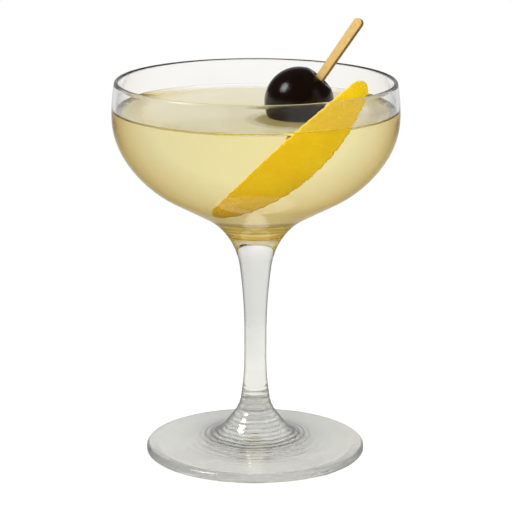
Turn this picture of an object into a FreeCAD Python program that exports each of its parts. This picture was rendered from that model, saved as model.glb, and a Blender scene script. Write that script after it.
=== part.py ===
import FreeCAD, Part
import math
import os
import re

import Sketcher
from FreeCAD import Rotation, Vector

# Tuxedo cocktail in a stemmed coupe, with a cherry on a paddle pick and a strip
# of lemon peel. Millimetres, +Z up, origin on the glass's axis at the table.
# The front of the drink faces -Y.

SIZES = [
    # name, millimetres or degrees, what it sets
    ("bowl_radius", 49.07, "outside of the bowl where it is widest"),
    ("bowl_height", 119.0, "height of that widest ring"),
    ("lip_draw_in", 1.07, "how much narrower the lip is than the widest ring"),
    ("lip_rise", 11.8, "widest ring to lip"),
    ("wall", 1.3, "glass wall of the bowl"),
    ("lip_round", 0.6, "rounding on both edges of the lip"),
    ("shoulder_arc", 27.2, "radius of the side under the widest ring"),
    ("shoulder_drop", 14.0, "how far that radius runs down"),
    ("belly_arc", 40.5, "radius of the bowl's lower side"),
    ("belly_slope", 28.0, "slope of the bowl's underside, degrees"),
    ("well_arc", 22.0, "radius of the bowl's floor inside"),
    ("collar_arc", 24.0, "radius that leads the bowl into the stem"),
    ("stem_radius", 3.83, "stem at its waist"),
    ("waist_top", 42.0, "height where the stem starts to widen upwards"),
    ("waist_bottom", 34.0, "height where the stem starts to widen downwards"),
    ("stem_upper_arc", 180.0, "long curve of the stem above the waist"),
    ("stem_lower_arc", 95.0, "long curve of the stem below the waist"),
    ("ankle_arc", 12.0, "radius that leads the stem into its cone"),
    ("cone_lean", 38.0, "lean of the cone from upright, degrees"),
    ("cone_radius", 10.5, "cone at its lower end"),
    ("cone_height", 9.5, "height of that lower end"),
    ("instep_arc", 10.0, "radius that leads the cone into the foot"),
    ("foot_radius", 38.0, "outside of the foot"),
    ("foot_edge", 2.7, "thickness of the foot at its edge"),
    ("foot_top_round", 1.25, "rounding on the upper edge of the foot"),
    ("foot_base_round", 0.9, "rounding on the lower edge of the foot"),
    ("resting_ring", 4.5, "width of the ring that the glass stands on"),
    ("hollow_depth", 2.1, "rise of the hollow inside that ring, at the axis"),
    ("headspace", 10.8, "lip down to the drink"),
    ("peel_gap", 0.5, "peel to the bowl's wall"),
    ("peel_thickness", 1.8, "zest and pith together"),
    ("peel_tip_x", 33.2, "centre of the peel's upper round, right of the axis"),
    ("peel_tip_rise", 1.3, "height of that centre above the lip"),
    ("peel_slant", 40.4, "slant of the strip from level, degrees"),
    ("peel_span", 59.4, "centre of the upper round to centre of the lower"),
    ("peel_drift", 1.3, "how far the lower round lies below the slant line"),
    ("peel_tip_round", 3.6, "radius of the upper end"),
    ("peel_end_round", 3.0, "radius of the lower end"),
    ("peel_inner_edge", 160.0, "radius of the edge towards the cherry"),
    ("peel_outer_edge", 84.0, "radius of the edge towards the wall"),
    ("cherry_radius", 11.75, "radius of the cherry across its middle"),
    ("dimple_depth", 1.7, "depth of the dimple where the stalk was"),
    ("dimple_ring", 4.2, "radius of the ring round that dimple"),
    ("dimple_shoulder", 3.5, "rounding of that ring"),
    ("cherry_x", 14.5, "middle of the cherry, right of the axis"),
    ("cherry_y", -9.0, "middle of the cherry, in front of the axis where negative"),
    ("cherry_float", 5.2, "height of the middle of the cherry above the drink"),
    ("cherry_tilt", 42.0, "lean of the cherry to the right, degrees"),
    ("pick_showing", 22.7, "pick's head above the cherry's skin"),
    ("pick_beyond", 2.3, "pick's point past the skin on the far side"),
    ("pick_width", 3.3, "pick across its rounded head"),
    ("pick_foot_width", 2.6, "pick across where its point begins"),
    ("pick_point", 7.0, "length of the point"),
    ("pick_tip_width", 0.8, "blunt end of the point"),
    ("pick_thickness", 2.1, "thickness of the pick"),
    ("pick_round", 0.3, "rounding along the pick's edges"),
    ("pick_lean", 34.0, "lean of the pick to the right, degrees"),
    ("pick_twist", -30.0, "turn of the pick about its length, degrees"),
    ("pick_offset", 1.3, "pick's line beside the middle of the cherry"),
]

START, END, CENTRE = 1, 2, 3
LIP_HEIGHT = "bowl_height + lip_rise"
LEVEL = LIP_HEIGHT + " - headspace"
PICK_LENGTH = "pick_showing + 2 * cherry_radius + pick_beyond"
ORIGIN, UPRIGHT_AXIS = (-1, 1), -2

doc = FreeCAD.newDocument("TuxedoCocktail")

sheet = doc.addObject("Spreadsheet::Sheet", "Sizes")
for row, (name, number, meaning) in enumerate(SIZES, start=1):
    sheet.set("A%d" % row, name)
    sheet.set("B%d" % row, str(number))
    sheet.set("C%d" % row, meaning)
    sheet.setAlias("B%d" % row, name)
doc.recompute()
NAMES = [name for name, number, meaning in SIZES]


def size(name):
    """The number that the sheet holds under this name."""
    return float(sheet.get(name))


def bound(formula):
    """The formula with each of the sheet's names written as a reference to its cell."""
    return re.sub(r"[a-z_]+", lambda word: "Sizes." + word[0] if word[0] in NAMES else word[0], formula)


def polar(radius, degrees):
    """The point at this distance and direction from the origin of a sketch."""
    angle = math.radians(degrees)
    return Vector(radius * math.cos(angle), radius * math.sin(angle), 0)


def lip_height():
    return size("bowl_height") + size("lip_rise")


def bearing(point):
    """The direction of a point from the origin of a sketch, from 0 to 360 degrees."""
    return math.degrees(math.atan2(point.y, point.x)) % 360


# ---- sketches: geometry is drawn in place, then tied to the sheet


def new_body(name):
    body = doc.addObject("PartDesign::Body", name)
    body.Label = name
    return body


def new_sketch(body, name):
    """A sketch on the upright plane through the body's X and Z axes."""
    sketch = body.newObject("Sketcher::SketchObject", name)
    planes = [plane for plane in body.Origin.OriginFeatures if plane.Role == "XZ_Plane"]
    sketch.AttachmentSupport = [(planes[0], "")]
    sketch.MapMode = "FlatFace"
    return sketch


def line(sketch, start, end):
    return sketch.addGeometry(Part.LineSegment(start, end), False)


def arc(sketch, centre, radius, start, end):
    """An arc that runs anticlockwise between two directions, in degrees."""
    circle = Part.Circle(centre, Vector(0, 0, 1), radius)
    return sketch.addGeometry(Part.ArcOfCircle(circle, math.radians(start), math.radians(end)), False)


def rule(sketch, kind, *terms):
    sketch.addConstraint(Sketcher.Constraint(kind, *terms))


def measure(sketch, formula, kind, *terms):
    """Adds a dimension and ties it to the sheet."""
    index = sketch.addConstraint(Sketcher.Constraint(kind, *terms))
    sketch.setExpression("Constraints[%d]" % index, bound(formula))


def place_x(sketch, element, end, formula):
    measure(sketch, formula, "DistanceX", *ORIGIN, element, end, sketch.getPoint(element, end).x)


def place_y(sketch, element, end, formula):
    measure(sketch, formula, "DistanceY", *ORIGIN, element, end, sketch.getPoint(element, end).y)


def set_radius(sketch, element, formula):
    measure(sketch, formula, "Radius", element, sketch.Geometry[element].Radius)


def flow(sketch, *joints):
    """At each joint (element, end, element, end) the two meet with one tangent."""
    for joint in joints:
        rule(sketch, "Tangent", *joint)


def revolve(body, sketch, name, kind="PartDesign::Revolution"):
    """Turns a closed profile once round the upright axis of its sketch."""
    feature = body.newObject(kind, name)
    feature.Profile = sketch
    feature.ReferenceAxis = (sketch, ["V_Axis"])
    feature.Angle = 360
    doc.recompute()
    return feature


def pad(body, sketch, name, formula, both_ways):
    feature = body.newObject("PartDesign::Pad", name)
    feature.Profile = sketch
    feature.Midplane = both_ways
    feature.setExpression("Length", bound(formula))
    doc.recompute()
    return feature


def round_edges(body, name, chosen, formula):
    """Rounds the edges of the body's last feature that a test picks out."""
    base = body.Tip
    edges = ["Edge%d" % n for n, edge in enumerate(base.Shape.Edges, start=1) if chosen(edge)]
    feature = body.newObject("PartDesign::Fillet", name)
    feature.Base = (base, edges)
    feature.setExpression("Radius", bound(formula))
    doc.recompute()
    return feature


def place(thing, x, y, z, axis, angle):
    """Ties a piece's placement to the sheet: a point, and a turn about one axis."""
    thing.Placement = FreeCAD.Placement(Vector(0, 0, 0), Rotation(axis, 1))
    thing.setExpression("Placement.Base.x", bound(x))
    thing.setExpression("Placement.Base.y", bound(y))
    thing.setExpression("Placement.Base.z", bound(z))
    thing.setExpression("Placement.Rotation.Angle", bound("(%s) * 1 deg" % angle))


# ---- the bowl's side, which the glass, the drink and the peel all follow


def bowl_side(sketch, inset, inset_formula, top, top_formula):
    """The lip's arc, the shoulder and the belly, set in by inset. Returns the lip's arc and the belly."""
    widest = Vector(size("bowl_radius") - inset, size("bowl_height"), 0)
    draw_in, rise = size("lip_draw_in"), size("lip_rise")
    lip_radius = (draw_in ** 2 + rise ** 2) / (2 * draw_in) - inset
    shoulder_radius = size("shoulder_arc") - inset
    belly_radius = size("belly_arc") - inset
    turn = math.degrees(math.asin(size("shoulder_drop") / size("shoulder_arc")))
    lip_centre = widest - Vector(lip_radius, 0, 0)
    shoulder_centre = widest - Vector(shoulder_radius, 0, 0)
    belly_centre = shoulder_centre + polar(shoulder_radius - belly_radius, -turn)
    lip_end = math.degrees(math.asin((top - widest.y) / lip_radius))
    lip = arc(sketch, lip_centre, lip_radius, 0, lip_end)
    shoulder = arc(sketch, shoulder_centre, shoulder_radius, -turn, 0)
    belly = arc(sketch, belly_centre, belly_radius, size("belly_slope") - 90, -turn)
    flow(sketch, (lip, START, shoulder, END), (shoulder, START, belly, END))
    place_x(sketch, lip, START, "bowl_radius - (%s)" % inset_formula)
    place_y(sketch, lip, START, "bowl_height")
    place_y(sketch, lip, CENTRE, "bowl_height")
    set_radius(sketch, lip, "(lip_draw_in ^ 2 + lip_rise ^ 2) / (2 * lip_draw_in) - (%s)" % inset_formula)
    place_y(sketch, lip, END, top_formula)
    set_radius(sketch, shoulder, "shoulder_arc - (%s)" % inset_formula)
    place_y(
        sketch, shoulder, START,
        "bowl_height - shoulder_drop * (shoulder_arc - (%s)) / shoulder_arc" % inset_formula,
    )
    set_radius(sketch, belly, "belly_arc - (%s)" % inset_formula)
    return lip, belly


def bowl_underside(sketch, belly, lower):
    """The straight underside, drawn from its lower end up to the belly."""
    underside = line(sketch, lower, sketch.getPoint(belly, START))
    flow(sketch, (belly, START, underside, END))
    measure(sketch, "belly_slope * 1 deg", "Angle", underside, math.radians(size("belly_slope")))
    return underside


def bowl_inside(sketch, inset, inset_formula, top, top_formula):
    """The bowl's side carried down to a round floor on the axis.

    Returns the lip's arc and the floor's arc, which are its two ends."""
    lip, belly = bowl_side(sketch, inset, inset_formula, top, top_formula)
    slope = size("belly_slope")
    floor_radius = size("well_arc") + size("wall") - inset
    upper = sketch.getPoint(belly, START)
    inward = polar(1, slope + 90)
    floor_centre = Vector(0, (inward.dot(upper) + floor_radius) / inward.y, 0)
    floor = arc(sketch, floor_centre, floor_radius, -90, slope - 90)
    underside = bowl_underside(sketch, belly, sketch.getPoint(floor, END))
    flow(sketch, (floor, END, underside, START))
    rule(sketch, "PointOnObject", floor, CENTRE, UPRIGHT_AXIS)
    rule(sketch, "PointOnObject", floor, START, UPRIGHT_AXIS)
    set_radius(sketch, floor, "well_arc + wall - (%s)" % inset_formula)
    return lip, floor


def cavity_profile(sketch):
    """What the bowl holds, up to the lip, as a closed profile on the axis."""
    lip, floor = bowl_inside(sketch, size("wall"), "wall", lip_height(), LIP_HEIGHT)
    corner = sketch.getPoint(lip, END)
    middle = Vector(0, corner.y, 0)
    lid = line(sketch, corner, middle)
    axis = line(sketch, middle, sketch.getPoint(floor, START))
    rule(sketch, "Coincident", lip, END, lid, START)
    rule(sketch, "Coincident", lid, END, axis, START)
    rule(sketch, "Coincident", axis, END, floor, START)
    rule(sketch, "Horizontal", lid)
    rule(sketch, "PointOnObject", lid, END, UPRIGHT_AXIS)


# ---- glass: foot, stem and bowl in one piece


def collar_and_stem(sketch, belly):
    """From the bowl's belly through its underside, the collar and the stem's upper curve to the waist."""
    slope = size("belly_slope")
    outward = polar(1, slope - 90)
    stem_arc, collar_radius = size("stem_upper_arc"), size("collar_arc")
    stem_centre = Vector(size("stem_radius") + stem_arc, size("waist_top"), 0)
    reach = outward.dot(stem_centre - sketch.getPoint(belly, START)) - collar_radius
    lean = 90 - slope - math.degrees(math.acos(reach / (stem_arc - collar_radius)))
    collar_centre = stem_centre + polar(stem_arc - collar_radius, 180 - lean)
    collar = arc(sketch, collar_centre, collar_radius, slope + 90, 180 - lean)
    underside = bowl_underside(sketch, belly, sketch.getPoint(collar, START))
    stem = arc(sketch, stem_centre, stem_arc, 180 - lean, 180)
    waist_top = sketch.getPoint(stem, END)
    waist = line(sketch, Vector(waist_top.x, size("waist_bottom"), 0), waist_top)
    flow(sketch, (underside, START, collar, START), (collar, END, stem, START), (stem, END, waist, END))
    set_radius(sketch, collar, "collar_arc")
    set_radius(sketch, stem, "stem_upper_arc")
    rule(sketch, "Vertical", waist)
    place_x(sketch, waist, END, "stem_radius")
    place_y(sketch, waist, END, "waist_top")
    place_y(sketch, waist, START, "waist_bottom")
    return waist


def cone_and_foot(sketch, waist):
    """From the waist through the stem's lower curve, the ankle and the cone to the foot's edge."""
    lean = size("cone_lean")
    stem_arc, ankle_radius, instep_radius = size("stem_lower_arc"), size("ankle_arc"), size("instep_arc")
    outward = polar(1, lean)
    cone_end = Vector(size("cone_radius"), size("cone_height"), 0)
    stem_centre = sketch.getPoint(waist, START) + Vector(stem_arc, 0, 0)
    reach = outward.dot(stem_centre - cone_end) - ankle_radius
    start_lean = lean - math.degrees(math.acos(reach / (stem_arc - ankle_radius)))
    ankle_centre = stem_centre + polar(stem_arc - ankle_radius, 180 + start_lean)
    instep_centre = cone_end + outward * instep_radius
    edge = Vector(size("foot_radius"), size("foot_edge"), 0)
    to_edge = edge - instep_centre
    instep_end = bearing(to_edge) - math.degrees(math.acos(instep_radius / to_edge.Length))
    stem = arc(sketch, stem_centre, stem_arc, 180, 180 + start_lean)
    ankle = arc(sketch, ankle_centre, ankle_radius, 180 + start_lean, 180 + lean)
    cone = line(sketch, cone_end, sketch.getPoint(ankle, END))
    instep = arc(sketch, instep_centre, instep_radius, 180 + lean, instep_end)
    top = line(sketch, sketch.getPoint(instep, END), edge)
    flow(
        sketch,
        (waist, START, stem, START),
        (stem, END, ankle, START),
        (ankle, END, cone, END),
        (cone, START, instep, START),
        (instep, END, top, START),
    )
    set_radius(sketch, stem, "stem_lower_arc")
    set_radius(sketch, ankle, "ankle_arc")
    set_radius(sketch, instep, "instep_arc")
    measure(sketch, "(90 + cone_lean) * 1 deg", "Angle", cone, math.radians(90 + lean))
    place_x(sketch, cone, START, "cone_radius")
    place_y(sketch, cone, START, "cone_height")
    place_x(sketch, top, END, "foot_radius")
    place_y(sketch, top, END, "foot_edge")
    return top


def glass_profile(sketch):
    """Half of the glass's outline, filled up to the lip."""
    lip, belly = bowl_side(sketch, 0, "0", lip_height(), LIP_HEIGHT)
    waist = collar_and_stem(sketch, belly)
    foot_top = cone_and_foot(sketch, waist)
    corner = sketch.getPoint(lip, END)
    toe = sketch.getPoint(foot_top, END)
    lid = line(sketch, corner, Vector(0, corner.y, 0))
    axis = line(sketch, Vector(0, corner.y, 0), Vector(0, 0, 0))
    base = line(sketch, Vector(0, 0, 0), Vector(toe.x, 0, 0))
    edge = line(sketch, Vector(toe.x, 0, 0), toe)
    closing = [(lip, END, lid, START), (lid, END, axis, START), (axis, END, base, START)]
    closing += [(base, END, edge, START), (edge, END, foot_top, END)]
    for joint in closing:
        rule(sketch, "Coincident", *joint)
    rule(sketch, "Horizontal", lid)
    rule(sketch, "Vertical", edge)
    rule(sketch, "Horizontal", base)
    rule(sketch, "PointOnObject", lid, END, UPRIGHT_AXIS)
    rule(sketch, "Coincident", axis, END, *ORIGIN)


def hollow_profile(sketch):
    """The shallow dome under the foot: half of a round cap that stands on the table."""
    mouth, depth = size("foot_radius") - size("resting_ring"), size("hollow_depth")
    radius = (mouth ** 2 + depth ** 2) / (2 * depth)
    centre = Vector(0, depth - radius, 0)
    dome = arc(sketch, centre, radius, bearing(Vector(mouth, 0, 0) - centre), 90)
    axis = line(sketch, Vector(0, depth, 0), Vector(0, 0, 0))
    base = line(sketch, Vector(0, 0, 0), Vector(mouth, 0, 0))
    rule(sketch, "Coincident", dome, END, axis, START)
    rule(sketch, "Coincident", axis, END, base, START)
    rule(sketch, "Coincident", base, END, dome, START)
    rule(sketch, "Coincident", axis, END, *ORIGIN)
    rule(sketch, "PointOnObject", dome, CENTRE, UPRIGHT_AXIS)
    rule(sketch, "PointOnObject", dome, END, UPRIGHT_AXIS)
    rule(sketch, "Horizontal", base)
    place_x(sketch, base, END, "foot_radius - resting_ring")
    place_y(sketch, dome, END, "hollow_depth")


def ring_at(height, radius):
    """Picks the round edges of this height and radius."""
    def chosen(edge):
        level = abs(edge.BoundBox.ZMin - height) < 0.01 and abs(edge.BoundBox.ZMax - height) < 0.01
        return level and abs(edge.BoundBox.XMax - radius) < 0.01
    return chosen


def lip_edge(edge):
    """Picks the two rings at the top of the glass."""
    top = lip_height()
    return abs(edge.BoundBox.ZMin - top) < 0.01 and abs(edge.BoundBox.ZMax - top) < 0.01


def make_glass():
    body = new_body("glass")
    outline = new_sketch(body, "GlassOutline")
    glass_profile(outline)
    revolve(body, outline, "GlassTurned")
    cavity = new_sketch(body, "GlassCavity")
    cavity_profile(cavity)
    revolve(body, cavity, "BowlHollow", "PartDesign::Groove")
    hollow = new_sketch(body, "FootHollow")
    hollow_profile(hollow)
    revolve(body, hollow, "FootDome", "PartDesign::Groove")
    round_edges(body, "LipRounding", lip_edge, "lip_round")
    round_edges(body, "FootTopRounding", ring_at(size("foot_edge"), size("foot_radius")), "foot_top_round")
    round_edges(body, "FootBaseRounding", ring_at(0, size("foot_radius")), "foot_base_round")
    return body


# ---- lemon peel: a strip cut from a layer that lies just inside the bowl's wall


def peel_layer():
    """The layer: a thin bowl that follows the wall and runs on above the lip."""
    body = new_body("PeelLayer")
    sketch = new_sketch(body, "PeelLayerProfile")
    top = lip_height() + size("peel_tip_rise") + 2 * size("peel_tip_round")
    near = size("wall") + size("peel_gap")
    far = near + size("peel_thickness")
    near_formula = "wall + peel_gap"
    far_formula = "wall + peel_gap + peel_thickness"
    top_formula = LIP_HEIGHT + " + peel_tip_rise + 2 * peel_tip_round"
    zest_lip, zest_floor = bowl_inside(sketch, near, near_formula, top, top_formula)
    pith_lip, pith_floor = bowl_inside(sketch, far, far_formula, top, top_formula)
    for one, other, end in ((zest_lip, pith_lip, END), (zest_floor, pith_floor, START)):
        closing = line(sketch, sketch.getPoint(one, end), sketch.getPoint(other, end))
        rule(sketch, "Coincident", one, end, closing, START)
        rule(sketch, "Coincident", other, end, closing, END)
    revolve(body, sketch, "PeelLayerTurned")
    return body


def far_centre(first, first_radius, second, second_radius, radius, side):
    """Centre of the arc of this radius that encloses two circles; side is +1 above, -1 below."""
    span = second - first
    reach, other = radius - first_radius, radius - second_radius
    along = (reach ** 2 - other ** 2 + span.Length ** 2) / (2 * span.Length)
    away = math.sqrt(reach ** 2 - along ** 2)
    direction = span / span.Length
    across = Vector(-direction.y, direction.x, 0)
    if across.y * side < 0:
        across = across * -1
    return first + direction * along + across * away


def peel_outline():
    """The strip's outline from the front, pushed forward through the layer."""
    body = new_body("PeelOutline")
    sketch = new_sketch(body, "PeelOutlineSketch")
    upper = Vector(0, 0, 0)
    lower = Vector(-size("peel_span"), -size("peel_drift"), 0)
    upper_radius, lower_radius = size("peel_tip_round"), size("peel_end_round")
    inner, outer = size("peel_inner_edge"), size("peel_outer_edge")
    inner_centre = far_centre(upper, upper_radius, lower, lower_radius, inner, -1)
    outer_centre = far_centre(upper, upper_radius, lower, lower_radius, outer, 1)
    inner_start, inner_end = bearing(upper - inner_centre), bearing(lower - inner_centre)
    outer_start, outer_end = bearing(lower - outer_centre), bearing(upper - outer_centre)
    inner_edge = arc(sketch, inner_centre, inner, inner_start, inner_end)
    lower_end = arc(sketch, lower, lower_radius, inner_end, outer_start)
    outer_edge = arc(sketch, outer_centre, outer, outer_start, outer_end)
    upper_end = arc(sketch, upper, upper_radius, outer_end - 360, inner_start)
    flow(
        sketch,
        (inner_edge, END, lower_end, START),
        (lower_end, END, outer_edge, START),
        (outer_edge, END, upper_end, START),
        (upper_end, END, inner_edge, START),
    )
    rule(sketch, "Coincident", upper_end, CENTRE, *ORIGIN)
    set_radius(sketch, upper_end, "peel_tip_round")
    set_radius(sketch, lower_end, "peel_end_round")
    set_radius(sketch, inner_edge, "peel_inner_edge")
    set_radius(sketch, outer_edge, "peel_outer_edge")
    place_x(sketch, lower_end, CENTRE, "-peel_span")
    place_y(sketch, lower_end, CENTRE, "-peel_drift")
    pad(body, sketch, "PeelOutlinePad", "bowl_radius", False)
    place(body, "peel_tip_x", "0", LIP_HEIGHT + " + peel_tip_rise", Vector(0, 1, 0), "-peel_slant")
    return body


def make_peel():
    peel = doc.addObject("Part::Common", "PeelStrip")
    peel.Base = peel_layer()
    peel.Tool = peel_outline()
    peel.Label = "lemon_peel"
    doc.recompute()
    return peel


# ---- cherry on its pick


def cherry_profile(sketch):
    """Half of the cherry: its round side, the ring round the dimple and the dimple."""
    radius, ring, depth = size("cherry_radius"), size("dimple_ring"), size("dimple_depth")
    ring_radius = size("dimple_shoulder")
    ring_centre = Vector(ring, math.sqrt((radius - ring_radius) ** 2 - ring ** 2), 0)
    crown = ring_centre.y + ring_radius
    dimple_radius = (ring ** 2 + depth ** 2 - 2 * ring_radius * depth) / (2 * depth)
    dimple_centre = Vector(0, crown - depth + dimple_radius, 0)
    to_dimple = bearing(dimple_centre - ring_centre)
    side = arc(sketch, Vector(0, 0, 0), radius, -90, bearing(ring_centre))
    shoulder = arc(sketch, ring_centre, ring_radius, bearing(ring_centre), to_dimple)
    dimple = arc(sketch, dimple_centre, dimple_radius, 270, to_dimple + 180)
    axis = line(sketch, sketch.getPoint(dimple, START), Vector(0, -radius, 0))
    flow(sketch, (side, END, shoulder, START), (shoulder, END, dimple, END))
    rule(sketch, "Coincident", dimple, START, axis, START)
    rule(sketch, "Coincident", axis, END, side, START)
    rule(sketch, "Coincident", side, CENTRE, *ORIGIN)
    rule(sketch, "PointOnObject", side, START, UPRIGHT_AXIS)
    rule(sketch, "PointOnObject", dimple, CENTRE, UPRIGHT_AXIS)
    rule(sketch, "PointOnObject", dimple, START, UPRIGHT_AXIS)
    set_radius(sketch, side, "cherry_radius")
    place_x(sketch, shoulder, CENTRE, "dimple_ring")
    set_radius(sketch, shoulder, "dimple_shoulder")
    place_y(
        sketch, dimple, START,
        "sqrt((cherry_radius - dimple_shoulder) ^ 2 - dimple_ring ^ 2) + dimple_shoulder - dimple_depth",
    )


def make_cherry(pick):
    body = new_body("CherryWhole")
    sketch = new_sketch(body, "CherryProfile")
    cherry_profile(sketch)
    revolve(body, sketch, "CherryTurned")
    place(body, "cherry_x", "cherry_y", LEVEL + " + cherry_float", Vector(0, 1, 0), "cherry_tilt")
    cherry = doc.addObject("Part::Cut", "CherryPierced")
    cherry.Base = body
    cherry.Tool = pick
    cherry.Label = "cherry"
    doc.recompute()
    return cherry


def pick_profile(sketch):
    """The flat pick, head up: a round head, a long taper, then a blunt point."""
    head, foot, tip = size("pick_width") / 2, size("pick_foot_width") / 2, size("pick_tip_width") / 2
    length = size("pick_showing") + 2 * size("cherry_radius") + size("pick_beyond")
    point = size("pick_point")
    top = arc(sketch, Vector(0, -head, 0), head, 0, 180)
    corners = [(-head, -head), (-foot, point - length), (-tip, -length)]
    corners += [(tip, -length), (foot, point - length), (head, -head)]
    corners = [Vector(x, y, 0) for x, y in corners]
    sides = [line(sketch, start, end) for start, end in zip(corners, corners[1:])]
    rule(sketch, "Coincident", top, END, sides[0], START)
    for first, second in zip(sides, sides[1:]):
        rule(sketch, "Coincident", first, END, second, START)
    rule(sketch, "Coincident", sides[-1], END, top, START)
    left_taper, left_point, tip_line, right_point, right_taper = sides
    rule(sketch, "PointOnObject", top, CENTRE, UPRIGHT_AXIS)
    rule(sketch, "Symmetric", left_taper, END, right_point, END, UPRIGHT_AXIS)
    rule(sketch, "Symmetric", left_point, END, tip_line, END, UPRIGHT_AXIS)
    set_radius(sketch, top, "pick_width / 2")
    for end in (START, END, CENTRE):
        place_y(sketch, top, end, "-pick_width / 2")
    place_x(sketch, right_point, END, "pick_foot_width / 2")
    place_y(sketch, right_point, END, "pick_point - (%s)" % PICK_LENGTH)
    place_x(sketch, tip_line, END, "pick_tip_width / 2")
    place_y(sketch, tip_line, END, "-(%s)" % PICK_LENGTH)


def along_face(edge):
    """Picks the edges round the pick's two flat faces: the others are as short as it is thick."""
    corners = [vertex.Point for vertex in edge.Vertexes]
    short = abs((corners[1] - corners[0]).Length - size("pick_thickness")) < 0.01
    return not (short and abs(corners[1].z - corners[0].z) < 0.01)


def make_pick():
    body = new_body("pick")
    sketch = new_sketch(body, "PickOutline")
    sketch.AttachmentOffset = FreeCAD.Placement(Vector(0, 0, 0), Rotation(Vector(0, 1, 0), 1))
    sketch.setExpression("AttachmentOffset.Rotation.Angle", bound("pick_twist * 1 deg"))
    pick_profile(sketch)
    pad(body, sketch, "PickPad", "pick_thickness", True)
    round_edges(body, "PickRounding", along_face, "pick_round")
    lean_sine, lean_cosine = "sin(pick_lean * 1 deg)", "cos(pick_lean * 1 deg)"
    above = "(cherry_radius + pick_showing)"
    head_x = "cherry_x + pick_offset * %s + %s * %s" % (lean_cosine, above, lean_sine)
    rise = "%s * %s - pick_offset * %s" % (above, lean_cosine, lean_sine)
    head_z = "%s + cherry_float + %s" % (LEVEL, rise)
    place(body, head_x, "cherry_y", head_z, Vector(0, 1, 0), "pick_lean")
    doc.recompute()
    return body


# ---- drink: what the bowl holds up to the drink's level, less what lies in it


def make_drink(garnish):
    body = new_body("BowlFilling")
    sketch = new_sketch(body, "BowlFillingProfile")
    cavity_profile(sketch)
    revolve(body, sketch, "BowlFillingTurned")
    level = doc.addObject("Part::Cylinder", "UpToLevel")
    level.setExpression("Radius", bound("bowl_radius"))
    level.setExpression("Height", bound(LEVEL))
    filling = doc.addObject("Part::Common", "FilledToLevel")
    filling.Base = body
    filling.Tool = level
    things = doc.addObject("Part::MultiFuse", "Garnish")
    things.Shapes = garnish
    drink = doc.addObject("Part::Cut", "DrinkAroundGarnish")
    drink.Base = filling
    drink.Tool = things
    drink.Label = "drink"
    doc.recompute()
    return drink


glass = make_glass()
lemon_peel = make_peel()
pick = make_pick()
cherry = make_cherry(pick)
drink = make_drink([lemon_peel, pick, cherry])
pieces = [glass, drink, lemon_peel, cherry, pick]

doc.recompute()
for thing in doc.Objects:
    if "Invalid" in thing.State or "Error" in thing.State:
        raise RuntimeError("%s did not build: %s" % (thing.Name, thing.State))
for piece in pieces:
    shape = piece.Shape
    if shape.isNull() or not shape.isValid() or len(shape.Solids) != 1:
        raise RuntimeError("%s is not one sound solid" % piece.Label)

os.makedirs("parts", exist_ok=True)
for piece in pieces:
    box = piece.Shape.optimalBoundingBox()
    print("%s %.0f mm3, x %.2f..%.2f y %.2f..%.2f z %.2f..%.2f" % (
        piece.Label, piece.Shape.Volume, box.XMin, box.XMax, box.YMin, box.YMax, box.ZMin, box.ZMax,
    ))
    piece.Shape.exportStep("parts/%s.step" % piece.Label)
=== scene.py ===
import math

import bpy
import numpy as np
from mathutils import Matrix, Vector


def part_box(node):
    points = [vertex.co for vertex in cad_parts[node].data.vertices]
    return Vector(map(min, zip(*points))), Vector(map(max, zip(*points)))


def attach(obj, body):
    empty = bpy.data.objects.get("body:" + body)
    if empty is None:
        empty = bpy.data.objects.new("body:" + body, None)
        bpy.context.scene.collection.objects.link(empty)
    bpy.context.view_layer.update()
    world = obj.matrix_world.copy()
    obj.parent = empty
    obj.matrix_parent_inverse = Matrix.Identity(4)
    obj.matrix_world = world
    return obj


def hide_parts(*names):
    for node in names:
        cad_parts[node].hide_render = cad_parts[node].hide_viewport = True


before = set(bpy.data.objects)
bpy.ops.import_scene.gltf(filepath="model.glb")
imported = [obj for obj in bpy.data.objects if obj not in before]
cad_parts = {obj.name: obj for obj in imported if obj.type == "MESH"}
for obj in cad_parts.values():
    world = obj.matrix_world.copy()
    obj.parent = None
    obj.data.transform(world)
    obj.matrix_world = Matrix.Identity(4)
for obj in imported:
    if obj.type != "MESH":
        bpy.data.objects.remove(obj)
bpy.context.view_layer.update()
millimetre = 0.001


def boxCorners(node):
    # the lowest and the highest corner of a solid, in millimetres
    return [np.array(corner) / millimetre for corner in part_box(node)]


glassBox, drinkBox, cherryBox = (boxCorners(node) for node in ("glass", "drink", "cherry"))
bowlRadius, lipHeight, drinkLevel = glassBox[1][0], glassBox[1][2], drinkBox[1][2]
cherryMiddle = (cherryBox[0] + cherryBox[1]) / 2
cherryRadius = (cherryBox[1][0] - cherryBox[0][0]) / 2
print("frame loaded, lip at %.1f mm and drink at %.1f mm" % (lipHeight, drinkLevel))


# surfaces: every piece below is a grid of points worked out by a formula, in millimetres

def addPiece(name, points, faces, material, node, smoothAngle=60, marked=None):
    # a mesh in metres; marked is a name and a number for each face, which the material reads
    mesh = bpy.data.meshes.new(name)
    mesh.from_pydata((points * millimetre).tolist(), [], faces)
    mesh.shade_smooth()
    mesh.set_sharp_from_angle(angle=math.radians(smoothAngle))
    piece = bpy.data.objects.new(name, mesh)
    bpy.context.scene.collection.objects.link(piece)
    mesh.materials.append(material)
    if marked is not None:
        attribute = mesh.attributes.new(marked[0], "FLOAT", "FACE")
        attribute.data.foreach_set("value", marked[1].astype(np.float32))
    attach(piece, "root")
    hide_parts(node)
    print("%s made, %d faces" % (name, len(faces)))


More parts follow.
